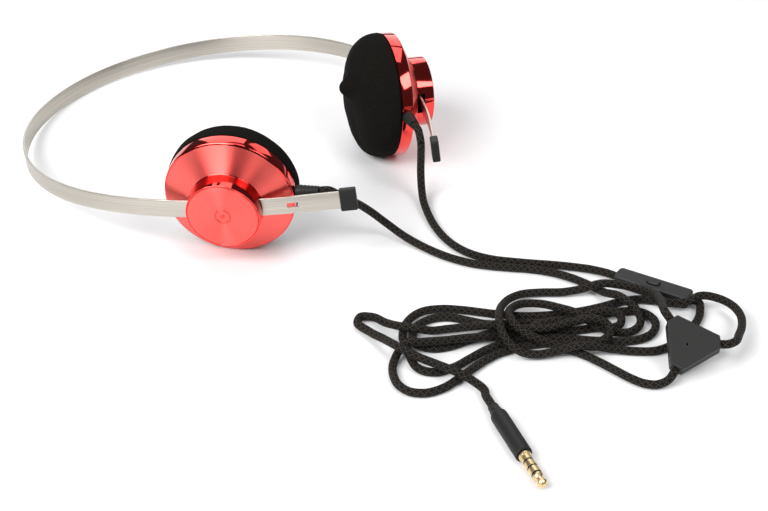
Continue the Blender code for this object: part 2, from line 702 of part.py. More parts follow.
def build_driver(side, cup):
    """A moving-coil driver, its dome facing the ear."""
    floor = baffle_front - well_depth + fit_gap
    frame = [
        (driver_radius - 1.6 * mm, floor),
        (driver_radius, floor),
        (driver_radius, floor + 1.3 * mm),
        (driver_radius - 1.8 * mm, floor + 1.7 * mm),
        (yoke_radius + 1.5 * mm, floor + 4.3 * mm),
        (yoke_radius + 0.4 * mm, floor + 4.3 * mm),
        (yoke_radius + 0.4 * mm, floor + 3.6 * mm),
        (driver_radius - 2.6 * mm, floor + 1.1 * mm),
        (driver_radius - 1.6 * mm, floor + 0.8 * mm),
    ]
    add(f"{side}_driver_frame", turned(frame, 20), frame_plastic, cup)
    yoke_front = floor + 1.6 * mm
    yoke = [
        (0, yoke_back - mm),
        (yoke_radius - mm, yoke_back - mm),
        (yoke_radius - mm, yoke_front),
        (yoke_radius, yoke_front),
        (yoke_radius, yoke_back),
        (0, yoke_back),
    ]
    add(f"{side}_driver_yoke", turned(yoke, 20), small_steel, cup)
    magnet = drum(magnet_radius, yoke_front + 0.7 * mm, yoke_back - mm - fit_gap, 20)
    add(f"{side}_driver_magnet", magnet, magnet_metal, cup)
    coil = yoke_radius - 1.3 * mm
    edge = driver_radius - 2 * mm
    cone = [
        (0, floor + 0.15 * mm),
        (3.5 * mm, floor + 0.3 * mm),
        (coil - 0.3 * mm, floor + 0.75 * mm),
        (9.5 * mm, floor + 0.25 * mm),
        (edge, floor + 0.3 * mm),
        (edge, floor + 0.55 * mm),
        (9.5 * mm, floor + 0.5 * mm),
        (coil, floor + 0.95 * mm),
        (coil, floor + 3.3 * mm),
        (coil - 0.45 * mm, floor + 3.3 * mm),
        (coil - 0.45 * mm, floor + 1.05 * mm),
        (3.5 * mm, floor + 0.55 * mm),
        (0, floor + 0.4 * mm),
    ]
    add(f"{side}_driver_diaphragm", turned(cone, 20), film, cup)


def build_pad(side, cup):
    """Foam pad, wrapped over the baffle's edge, with a nub in the middle."""
    back = baffle_front - baffle_thickness
    inner = baffle_radius + fit_gap
    outer = screw_circle + screw_head + 0.4 * mm
    inside = screw_circle - screw_head - 0.3 * mm
    well = baffle_front - well_depth - baffle_thickness - fit_gap
    profile = [
        (0, pad_face - nub_height),
        (nub_radius * 0.55, pad_face + 0.2 * mm - nub_height),
        (nub_radius * 0.95, pad_face - 0.9 * mm),
        (nub_radius * 1.5, pad_face - 0.3 * mm),
        (pad_radius * 0.6, pad_face + 0.2 * mm),
        (pad_radius * 0.82, pad_face + 1.7 * mm),
        (pad_radius - 1.05 * mm, pad_face + 4.3 * mm),
        (pad_radius - 0.05 * mm, pad_face + 7.1 * mm),
        (pad_radius, back - fit_gap),
        (pad_radius, rim_back - 0.35 * mm),
        (inner, rim_back - 0.35 * mm),
        (inner, back - fit_gap),
        (outer, back - fit_gap),
        (outer, back - screw_head_height - 0.6 * mm),
        (inside, back - screw_head_height - 0.6 * mm),
        (inside - 0.4 * mm, well),
        (0, well),
    ]
    add(f"{side}_ear_pad", turned(profile, 32), foam, cup)


def build_relief(side, cup):
    """Moulded sleeve where the cable leaves the rim."""
    profile = [
        (0, rim_radius - 3.8 * mm),
        (1.8 * mm, rim_radius - 3.8 * mm),
        (1.8 * mm, rim_radius - 2.9 * mm),
        (relief_neck, rim_radius - 2.9 * mm),
        (relief_neck, rim_radius + 0.5 * mm),
        (relief_root, rim_radius + 0.5 * mm),
        (relief_root, rim_radius + 2.2 * mm),
        (relief_end, relief_length),
        (0, relief_length),
    ]
    place = Matrix.Translation((0, 0, relief_height)) @ Matrix.Rotation(math.pi / 2, 4, "Y")
    add(f"{side}_strain_relief", turned(profile, 16), rubber, cup, place)


# Cups: a slider on each leg of the band, and the cup that tilts on it

for side in ("left", "right"):
    rest = band_frame(side, cup_arc[side])
    to_centre = Matrix.Translation((0, 0, -leg_radius))
    slide = empty(f"{side}_slide_centre", rest @ to_centre)
    guide = empty(f"{side}_guide", rest, slide)
    tilt = Matrix.Rotation(side_sign(side) * cup_tilt[side], 4, "X")
    cup = empty(f"{side}_cup", rest @ tilt, guide)
    build_guide(side, guide)
    build_shell(side, cup)
    build_frame(side, cup)
    build_baffle(side, cup)
    build_driver(side, cup)
    build_pad(side, cup)
    build_relief(side, cup)

# Cable

for name, points in (
    ("left_branch", left_branch),
    ("right_branch", right_branch),
    ("remote_branch", remote_branch),
    ("main_cord", main_cord),
):
    wire(name, [Vector(point) * mm for point in points], cord_diameter / 2, braid)

# Remote control, a push button over a small board

remote = empty(
    "remote",
    Matrix.Translation(remote_place) @ Matrix.Rotation(remote_heading, 4, "Z"),
)
middle = remote_height / 2
length, width = remote_length - 2 * remote_wall, remote_width - 2 * remote_wall
for name, low, high, floor, roof in (
    ("remote_bottom", 0, middle - joint_gap, remote_wall, middle + mm),
    ("remote_top", middle + joint_gap, remote_height, middle - mm, remote_height - remote_wall),
):
    half = add(name, prism(rounded(remote_length, remote_width, 1.3 * mm), low, high), housing, remote)
    bevel(half, 0.25 * mm, 1)
    inside = add(f"{name}_inside", prism(rounded(length, width, 0.6 * mm), floor, roof), housing, remote)
    combine(half, inside)
opening = prism(
    rounded(button_length + 2 * fit_gap, button_width + 2 * fit_gap, 1.2 * mm),
    middle + mm,
    remote_height + mm,
)
combine(half, add("button_opening", opening, housing, remote))
button_low = middle + 0.5 * mm
button = add(
    "remote_button",
    prism(
        rounded(button_length, button_width, 0.9 * mm),
        button_low + 0.3 * mm,
        remote_height + button_proud,
    ),
    housing,
    remote,
)
bevel(button, 0.2 * mm, 1)
flange = prism(rounded(button_length + 1.6 * mm, button_width + 1.2 * mm, 0.6 * mm), button_low, button_low + 0.5 * mm)
combine(button, add("button_flange", flange, housing, remote), "UNION")
board = add(
    "remote_board",
    block((-10 * mm, -1.9 * mm, 1.1 * mm), (10 * mm, 1.9 * mm, 1.7 * mm)),
    laminate,
    remote,
    smooth=False,
)
combine(board, add("dome", drum(1.3 * mm, 1.5 * mm, 2.1 * mm), laminate, remote), "UNION")


def splitter_outline(inset):
    """The splitter's three sides and three cut corners, this far inside."""
    reach = splitter_side / math.sqrt(3)
    flat = reach - splitter_corner / 2 * math.sqrt(3) - inset
    half = (reach - 2 * inset - flat) / math.sqrt(3)
    outline = []
    for k in range(3):
        turn = Matrix.Rotation(math.tau * k / 3, 2)
        outline += [turn @ Vector((flat, -half)), turn @ Vector((flat, half))]
    return outline


# Splitter, its front at local Z = 0

splitter = empty(
    "splitter",
    Matrix.Translation(splitter_place)
    @ Matrix.Rotation(splitter_lean_heading, 4, "Z")
    @ Matrix.Rotation(splitter_lean, 4, "Y")
    @ Matrix.Rotation(splitter_turn, 4, "Z"),
)
middle = -splitter_thickness / 2
for name, low, high, floor, roof in (
    ("splitter_bottom", -splitter_thickness, middle - joint_gap, splitter_wall - splitter_thickness, middle + mm),
    ("splitter_top", middle + joint_gap, 0, middle - mm, -splitter_wall),
):
    half = add(name, prism(splitter_outline(0), low, high), housing, splitter)
    bevel(half, 0.4 * mm, 2)
    inside = add(f"{name}_inside", prism(splitter_outline(splitter_wall), floor, roof), housing, splitter)
    combine(half, inside)
pinhole = add(
    "pinhole_cutter",
    drum(0.5 * mm, -2 * mm, mm, 10),
    housing,
    splitter,
    Matrix.Translation(pinhole_place),
)
combine(half, pinhole)
board_low = splitter_wall - splitter_thickness + fit_gap
board = prism(splitter_outline(splitter_wall + 0.4 * mm), board_low, board_low + 0.7 * mm)
add("splitter_board", board, laminate, splitter, smooth=False)
capsule = drum(2 * mm, board_low + mm, -splitter_wall - fit_gap)
add("splitter_microphone", capsule, small_steel, splitter, Matrix.Translation(pinhole_place))

# Plug, along local Z from the cable

plug = empty(
    "plug",
    Matrix.Translation(plug_place)
    @ Matrix.Rotation(plug_heading, 4, "Z")
    @ Matrix.Rotation(math.pi / 2, 4, "Y"),
)
grip = [
    (0, 0),
    (1.75 * mm, 0),
    (2.1 * mm, 3.5 * mm),
    (grip_radius - 0.05 * mm, 4.6 * mm),
    (grip_radius, 5 * mm),
    (grip_radius, grip_length - 0.3 * mm),
    (grip_radius - 0.3 * mm, grip_length),
    (0, grip_length),
]
add("plug_grip", turned(grip, 20), rubber, plug)
collar = grip_length + fit_gap
jack = collar + mm
bore = 0.95 * mm
first, second, third = (jack + start for start in jack_rings)
sleeve = [
    (bore, collar),
    (jack_radius + 0.75 * mm, collar),
    (jack_radius + 0.75 * mm, jack),
    (jack_radius, jack),
    (jack_radius, first - joint_gap),
    (bore, first - joint_gap),
]
add("plug_sleeve", turned(sleeve, 20), gold, plug)
for name, low, high in (("plug_ring_2", first, second), ("plug_ring_1", second, third)):
    low, high = low + ring_width + joint_gap, high - joint_gap
    ring = [(bore, low), (jack_radius, low), (jack_radius, high), (bore, high)]
    add(name, turned(ring, 20), gold, plug)
start, end = third + ring_width + joint_gap, jack + jack_length
tip = [
    (0, start + 1.4 * mm),
    (bore, start + 1.4 * mm),
    (bore, start),
    (jack_radius - 0.05 * mm, start),
    (1.32 * mm, start + 1.2 * mm),
    (1.32 * mm, start + 1.5 * mm),
    (jack_radius, start + 2.4 * mm),
    (jack_radius, start + 2.8 * mm),
    (0.6 * mm, end - 0.2 * mm),
    (0, end),
]
add("plug_tip", turned(tip, 20), gold, plug)
rod = bore - 0.15 * mm
core = [(0, collar + 0.1 * mm), (rod, collar + 0.1 * mm)]
for low in (first, second, third):
    core += [(rod, low), (jack_radius - 0.03 * mm, low)]
    core += [(jack_radius - 0.03 * mm, low + ring_width), (rod, low + ring_width)]
core += [(rod, start + 1.1 * mm), (0, start + 1.1 * mm)]
add("plug_insulator", turned(core, 16), ring_plastic, plug)
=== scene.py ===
import json
import math

import bpy
from mathutils import Matrix, Vector, noise


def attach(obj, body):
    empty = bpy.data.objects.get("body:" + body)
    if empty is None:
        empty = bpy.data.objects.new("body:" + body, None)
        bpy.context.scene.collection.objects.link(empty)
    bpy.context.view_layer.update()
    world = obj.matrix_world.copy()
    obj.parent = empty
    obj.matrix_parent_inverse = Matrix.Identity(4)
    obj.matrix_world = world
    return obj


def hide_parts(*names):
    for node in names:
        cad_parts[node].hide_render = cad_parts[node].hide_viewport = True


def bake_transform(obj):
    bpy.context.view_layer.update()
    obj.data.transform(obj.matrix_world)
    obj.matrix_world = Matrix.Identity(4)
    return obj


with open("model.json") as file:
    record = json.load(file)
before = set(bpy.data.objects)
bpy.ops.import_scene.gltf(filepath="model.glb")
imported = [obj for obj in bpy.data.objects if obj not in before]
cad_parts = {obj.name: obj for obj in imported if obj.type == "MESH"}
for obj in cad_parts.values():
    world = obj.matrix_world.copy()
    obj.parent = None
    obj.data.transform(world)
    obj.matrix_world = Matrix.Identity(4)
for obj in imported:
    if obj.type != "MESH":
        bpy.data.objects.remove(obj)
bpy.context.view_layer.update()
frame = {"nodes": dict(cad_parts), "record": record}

mm = 0.001
record = frame["record"]
joints = {joint["name"]: joint for joint in record["behaviour"]["joints"]}
mounts = {mount["name"]: mount for mount in record["mounts"]}


# Camera

camera = {
    "place": (-0.4434, -0.49488, 0.3955),
    "looking": (0.60624, 0.57280, -0.55171),
    "lens": 95.8,
}

cameraData = bpy.data.cameras.new("camera")
cameraData.lens = camera["lens"]
cameraData.sensor_width = 36
cameraData.clip_start = 0.01
cameraObject = bpy.data.objects.new("camera", cameraData)
bpy.context.scene.collection.objects.link(cameraObject)
cameraObject.location = camera["place"]
cameraObject.rotation_euler = Vector(camera["looking"]).to_track_quat("-Z", "Y").to_euler()
bpy.context.scene.camera = cameraObject
print("camera")


# Node groups: a stretched grain, and the woven sleeve of the cable with painted shade in the valleys between
# its strands


def newGroup(name, inputs, outputs):
    group = bpy.data.node_groups.new(name, "ShaderNodeTree")
    for label, kind, value in inputs:
        socket = group.interface.new_socket(label, in_out="INPUT", socket_type=kind)
        if value is not None:
            socket.default_value = value
    for label, kind in outputs:
        group.interface.new_socket(label, in_out="OUTPUT", socket_type=kind)
    return group, group.nodes.new("NodeGroupInput"), group.nodes.new("NodeGroupOutput")


def mathNode(tree, operation, first, second=None):
    node = tree.nodes.new("ShaderNodeMath")
    node.operation = operation
    for socket, value in zip(node.inputs, (first, second)):
        if isinstance(value, (int, float)):
            socket.default_value = value
        elif value is not None:
            tree.links.new(value, socket)
    return node.outputs[0]


def makeGrainGroup():
    group, entry, end = newGroup(
        "grain",
        [
            ("Coordinates", "NodeSocketVector", None),
            ("Scale", "NodeSocketFloat", 1000),
            ("Detail", "NodeSocketFloat", 3),
            ("Dark", "NodeSocketColor", (0, 0, 0, 1)),
            ("Light", "NodeSocketColor", (1, 1, 1, 1)),
            ("Low", "NodeSocketFloat", 0.3),
            ("High", "NodeSocketFloat", 0.5),
            ("Relief", "NodeSocketFloat", 0.1),
        ],
        [
            ("Colour", "NodeSocketColor"),
            ("Roughness", "NodeSocketFloat"),
            ("Normal", "NodeSocketVector"),
        ],
    )
    texture = group.nodes.new("ShaderNodeTexNoise")
    group.links.new(entry.outputs["Coordinates"], texture.inputs["Vector"])
    group.links.new(entry.outputs["Scale"], texture.inputs["Scale"])
    group.links.new(entry.outputs["Detail"], texture.inputs["Detail"])
    mix = group.nodes.new("ShaderNodeMix")
    mix.data_type = "RGBA"
    group.links.new(texture.outputs["Fac"], mix.inputs["Factor"])
    group.links.new(entry.outputs["Dark"], mix.inputs["A"])
    group.links.new(entry.outputs["Light"], mix.inputs["B"])
    group.links.new(mix.outputs["Result"], end.inputs["Colour"])
    spread = group.nodes.new("ShaderNodeMapRange")
    group.links.new(texture.outputs["Fac"], spread.inputs["Value"])
    group.links.new(entry.outputs["Low"], spread.inputs["To Min"])
    group.links.new(entry.outputs["High"], spread.inputs["To Max"])
    group.links.new(spread.outputs["Result"], end.inputs["Roughness"])
    bump = group.nodes.new("ShaderNodeBump")
    bump.inputs["Distance"].default_value = 0.1 * mm
    group.links.new(entry.outputs["Relief"], bump.inputs["Strength"])
    group.links.new(texture.outputs["Fac"], bump.inputs["Height"])
    group.links.new(bump.outputs["Normal"], end.inputs["Normal"])
    return group


def makeWeaveGroup():
    group, entry, end = newGroup(
        "weave",
        [
            ("Coordinates", "NodeSocketVector", None),
            ("ShadedValley", "NodeSocketColor", (0, 0, 0, 1)),
            ("Crest", "NodeSocketColor", (1, 1, 1, 1)),
        ],
        [("Colour", "NodeSocketColor"), ("Height", "NodeSocketFloat")],
    )
    parts = group.nodes.new("ShaderNodeSeparateXYZ")
    group.links.new(entry.outputs["Coordinates"], parts.inputs[0])
    along, around = parts.outputs["X"], parts.outputs["Y"]
    rising = mathNode(group, "ADD", along, around)
    falling = mathNode(group, "SUBTRACT", along, around)
    heights = []
    for strand, other in ((rising, falling), (falling, rising)):
        swing = mathNode(group, "SINE", mathNode(group, "MULTIPLY", strand, math.pi))
        ridge = mathNode(group, "ABSOLUTE", swing)
        wave = mathNode(group, "SINE", mathNode(group, "MULTIPLY", other, math.pi))
        over = mathNode(group, "MULTIPLY", wave, 1 if not heights else -1)
        lift = mathNode(group, "ADD", mathNode(group, "MULTIPLY", over, 0.35), 0.65)
        heights.append(mathNode(group, "MULTIPLY", ridge, lift))
    height = mathNode(group, "MAXIMUM", *heights)
    group.links.new(height, end.inputs["Height"])
    # the colour runs from the crest colour to near-black in the valleys between the strands: painted shade
    mix = group.nodes.new("ShaderNodeMix")
    mix.data_type = "RGBA"
    group.links.new(mathNode(group, "POWER", height, 3.5), mix.inputs["Factor"])
    group.links.new(entry.outputs["ShadedValley"], mix.inputs["A"])
    group.links.new(entry.outputs["Crest"], mix.inputs["B"])
    group.links.new(mix.outputs["Result"], end.inputs["Colour"])
    return group


grainGroup = makeGrainGroup()
weaveGroup = makeWeaveGroup()


# Materials


def finishOf(
    name,
    grain,
    coordinates="object",
    stretch=(1, 1, 1),
    turn=(0, 0, 0),
    tangents=None,
    **shaderValues,
):
    material = bpy.data.materials.new(name)
    material.use_nodes = True
    tree = material.node_tree
    shader = tree.nodes["Principled BSDF"]
    for label, value in shaderValues.items():
        shader.inputs[label.replace("_", " ")].default_value = value
    if coordinates == "object":
        source = tree.nodes.new("ShaderNodeTexCoord").outputs["Object"]
    else:
        attribute = tree.nodes.new("ShaderNodeAttribute")
        attribute.attribute_name = coordinates
        source = attribute.outputs["Vector"]
    for setting, value in (("Rotation", turn), ("Scale", stretch)):
        mapping = tree.nodes.new("ShaderNodeMapping")
        mapping.inputs[setting].default_value = value
        tree.links.new(source, mapping.inputs["Vector"])
        source = mapping.outputs["Vector"]
    node = tree.nodes.new("ShaderNodeGroup")
    node.node_tree = grainGroup
    tree.links.new(source, node.inputs["Coordinates"])
    for label, value in grain.items():
        node.inputs[label].default_value = value
    tree.links.new(node.outputs["Colour"], shader.inputs["Base Color"])
    tree.links.new(node.outputs["Roughness"], shader.inputs["Roughness"])
    tree.links.new(node.outputs["Normal"], shader.inputs["Normal"])
    if tangents:
        tangent = tree.nodes.new("ShaderNodeTangent")
        tangent.direction_type = "UV_MAP"
        tangent.uv_map = tangents
        tree.links.new(tangent.outputs["Tangent"], shader.inputs["Tangent"])
    return material


bandPlane = {"slope": math.radians(-8.5), "roll": math.radians(-1.03)}
bandTurn = Matrix.Rotation(bandPlane["slope"], 3, "X") @ Matrix.Rotation(bandPlane["roll"], 3, "Y")
toBand = bandTurn.transposed().to_euler()

bandSteel = finishOf(
    "bandSteel",
    {
        "Dark": (0.34, 0.315, 0.28, 1), "Light": (0.68, 0.64, 0.57, 1),
        "Low": 0.24, "High": 0.42, "Relief": 0.14,
    },
    stretch=(0.02, 0.02, 2.6),
    turn=toBand,
    tangents="lengthwise",
    Metallic=1,
    Anisotropic=0.7,
    Anisotropic_Rotation=0.25,
)
polishedRed = finishOf(
    "polishedRed",
    {
        "Dark": (0.86, 0.05, 0.04, 1), "Light": (0.93, 0.065, 0.055, 1),
        "Scale": 300, "Low": 0.05, "High": 0.09, "Relief": 0.01,
    },
    Metallic=1,
    Coat_Weight=0.4,
    Coat_Roughness=0.04,
)
turnedRed = finishOf(
    "turnedRed",
    {
        "Dark": (0.88, 0.105, 0.09, 1), "Light": (1, 0.155, 0.135, 1),
        "Low": 0.28, "High": 0.4, "Relief": 0.1,
    },
    coordinates="ringAt",
    stretch=(4, 0, 1),
    tangents="turned",
    Metallic=1,
    Anisotropic=0.95,
    Anisotropic_Rotation=0.25,
    Coat_Weight=0.3,
    Coat_Roughness=0.25,
)
padFoam = finishOf(
    "padFoam",
    {
        "Dark": (0.001, 0.001, 0.001, 1), "Light": (0.013, 0.011, 0.009, 1),
        "Scale": 1900, "Detail": 5, "Low": 0.9, "High": 1, "Relief": 1,
    },
    Specular_IOR_Level=0.06,
)
capRubber = finishOf(
    "capRubber",
    {
        "Dark": (0.005, 0.005, 0.005, 1), "Light": (0.014, 0.013, 0.012, 1),
        "Scale": 2500, "Low": 0.45, "High": 0.62, "Relief": 0.25,
    },
    Specular_IOR_Level=0.3,
)
housingPlastic = finishOf(
    "housingPlastic",
    {
        "Dark": (0.007, 0.007, 0.007, 1), "Light": (0.02, 0.019, 0.018, 1),
        "Scale": 4000, "Detail": 4, "Low": 0.4, "High": 0.56, "Relief": 0.3,
    },
    Specular_IOR_Level=0.35,
)
framePlastic = finishOf(
    "framePlastic",
    {
        "Dark": (0.01, 0.01, 0.011, 1), "Light": (0.025, 0.025, 0.026, 1),
        "Scale": 1500, "Low": 0.4, "High": 0.55, "Relief": 0.1,
    },
)
brightSteel = finishOf(
    "brightSteel",
    {
        "Dark": (0.5, 0.5, 0.5, 1), "Light": (0.7, 0.7, 0.7, 1),
        "Scale": 900, "Low": 0.15, "High": 0.3, "Relief": 0.03,
    },
    Metallic=1,
)
platedMagnet = finishOf(
    "platedMagnet",
    {
        "Dark": (0.36, 0.36, 0.38, 1), "Light": (0.5, 0.5, 0.52, 1),
        "Scale": 700, "Low": 0.3, "High": 0.42, "Relief": 0.05,
    },
    Metallic=1,
)
driverFilm = finishOf(
    "driverFilm",
    {
        "Dark": (0.03, 0.03, 0.04, 1), "Light": (0.07, 0.07, 0.08, 1),
        "Scale": 500, "Low": 0.25, "High": 0.35, "Relief": 0.05,
    },
)
boardLaminate = finishOf(
    "boardLaminate",
    {
        "Dark": (0.01, 0.08, 0.03, 1), "Light": (0.03, 0.16, 0.06, 1),
        "Scale": 1200, "Low": 0.35, "High": 0.5, "Relief": 0.1,
    },
)
goldPlate = finishOf(
    "goldPlate",
    {
        "Dark": (0.68, 0.5, 0.25, 1), "Light": (0.86, 0.68, 0.4, 1),
        "Scale": 600, "Low": 0.28, "High": 0.4, "Relief": 0.03,
    },
    Metallic=1,
)
ringPlastic = finishOf(
    "ringPlastic",
    {
        "Dark": (0.006, 0.006, 0.006, 1), "Light": (0.015, 0.015, 0.015, 1),
        "Scale": 2000, "Low": 0.25, "High": 0.35, "Relief": 0.05,
    },
)


def makeCordBraid():
    material = bpy.data.materials.new("cordBraid")
    material.use_nodes = True
    tree = material.node_tree
    shader = tree.nodes["Principled BSDF"]
    shader.inputs["Roughness"].default_value = 0.6
    shader.inputs["Specular IOR Level"].default_value = 0.16
    uv = tree.nodes.new("ShaderNodeUVMap")
    uv.uv_map = "sleeve"
    weave = tree.nodes.new("ShaderNodeGroup")
    weave.node_tree = weaveGroup
    # the near-black valley colour is painted shade between the strands of the braid
    weave.inputs["ShadedValley"].default_value = (0.0008, 0.0007, 0.0006, 1)
    weave.inputs["Crest"].default_value = (0.07, 0.058, 0.047, 1)
    tree.links.new(uv.outputs["UV"], weave.inputs["Coordinates"])
    tree.links.new(weave.outputs["Colour"], shader.inputs["Base Color"])
    bump = tree.nodes.new("ShaderNodeBump")
    bump.inputs["Strength"].default_value = 1
    bump.inputs["Distance"].default_value = 0.5 * mm
    tree.links.new(weave.outputs["Height"], bump.inputs["Height"])
    tree.links.new(bump.outputs["Normal"], shader.inputs["Normal"])
    return material


cordBraid = makeCordBraid()
print("materials")

# Cable: each piece as points along its middle, in millimetres

leftBranch = [
    (-24.6, -68.9, 27.34), (-22.93, -71.05, 27.7), (-19.8, -72.88, 25.4),
    (-14.5, -73.18, 20.9), (-9.2, -73.38, 16.3), (-4.5, -74.18, 11.6),
    (0.4, -77.48, 5.7), (2.3, -82.88, 2.7), (2.9, -89.78, 1.7), (3.4, -97.28, 1.5),
    (4.6, -104.48, 1.5), (6.9, -111.28, 1.5), (10.3, -117.38, 1.5),
    (14.2, -122.98, 1.5), (18.2, -128.58, 1.5), (21.4, -134.68, 1.5),
    (23.4, -141.58, 1.6), (24.2, -149.08, 1.7), (23, -156.98, 2.8),
    (21.5, -164.58, 5.5), (20.9, -171.98, 4.1), (20.1, -174.08, 3.2),
    (18.7, -175.78, 2.5), (16.8, -176.78, 2.1), (12.5, -176.88, 1.8),
    (7.4, -173.08, 2.3), (4.4, -167.58, 4.2), (3, -160.98, 6.3), (2.1, -153.88, 5.6),
    (1.1, -146.58, 4.2), (0, -144.48, 3.9), (-1.7, -142.78, 3.9), (-4, -141.88, 4.2),
    (-9.3, -142.58, 5.3), (-14.1, -145.98, 7), (-16, -148.28, 7.9),
    (-17.3, -150.68, 7.8), (-17.1, -155.28, 6.1), (-14.1, -161.18, 4),
    (-10.6, -166.48, 2.1), (-8.5, -172.48, 1.5), (-8, -179.38, 1.5),
    (-8, -186.28, 1.5), (-7.9, -193.08, 1.5), (-7.2, -197.28, 1.6), (-5, -200.68, 1.8),
    (-1.44, -202.31, 2.54), (2.31, -202, 4.05),
]
rightBranch = [
    (31.26, -61.68, 26.98), (29.26, -65.34, 27.08), (28.3, -67.28, 24.4),
    (29.3, -66.68, 16.9), (29.3, -66.68, 9.4), (28.1, -68.08, 6), (24.2, -72.68, 2.9),
    (21, -77.28, 2), (17.7, -82.58, 1.6), (14.7, -88.28, 1.5), (12.4, -94.18, 1.5),
    (11.1, -99.98, 1.5), (11.4, -108.08, 1.5), (13.8, -114.98, 1.5),
    (17.5, -120.98, 1.5), (21.4, -126.68, 1.5), (25.4, -132.18, 1.5),
    (29, -137.98, 1.6), (32.1, -144.08, 1.8), (33.95, -150.74, 2.09),
    (34.17, -153.21, 2.2),
]
remoteBranch = [
    (40.23, -180.55, 2.2), (40.94, -182.64, 2.25), (36.9, -186.78, 1.8),
    (31.1, -189.28, 1.6), (25.1, -190.68, 1.5), (16.6, -191.08, 1.5),
    (9.5, -188.98, 1.5), (4.6, -184.28, 1.6), (0.4, -179.28, 2.1),
    (-4.7, -175.48, 3.9), (-9.8, -171.58, 5), (-14.3, -167.08, 3.1),
    (-19.2, -162.88, 2.2), (-22.2, -159.78, 2.7), (-23.7, -155.78, 4.2),
    (-22.9, -151.18, 6.2), (-19.5, -146.48, 8), (-14.4, -142.18, 6.8),
    (-8.5, -138.58, 4.8), (-2.4, -136.58, 3.3), (3.3, -136.78, 2.3),
    (9.7, -140.68, 1.7), (14.4, -145.78, 1.9), (18.9, -150.58, 3.2),
    (22.6, -155.68, 6), (26.7, -161.28, 5.9), (28.6, -165.58, 6), (28.6, -170.48, 7.1),
    (26.5, -175.48, 8.9), (22.4, -180.28, 11), (17.2, -185.08, 13.1),
    (14.66, -187.65, 13.94), (13.27, -191.22, 12.93),
]
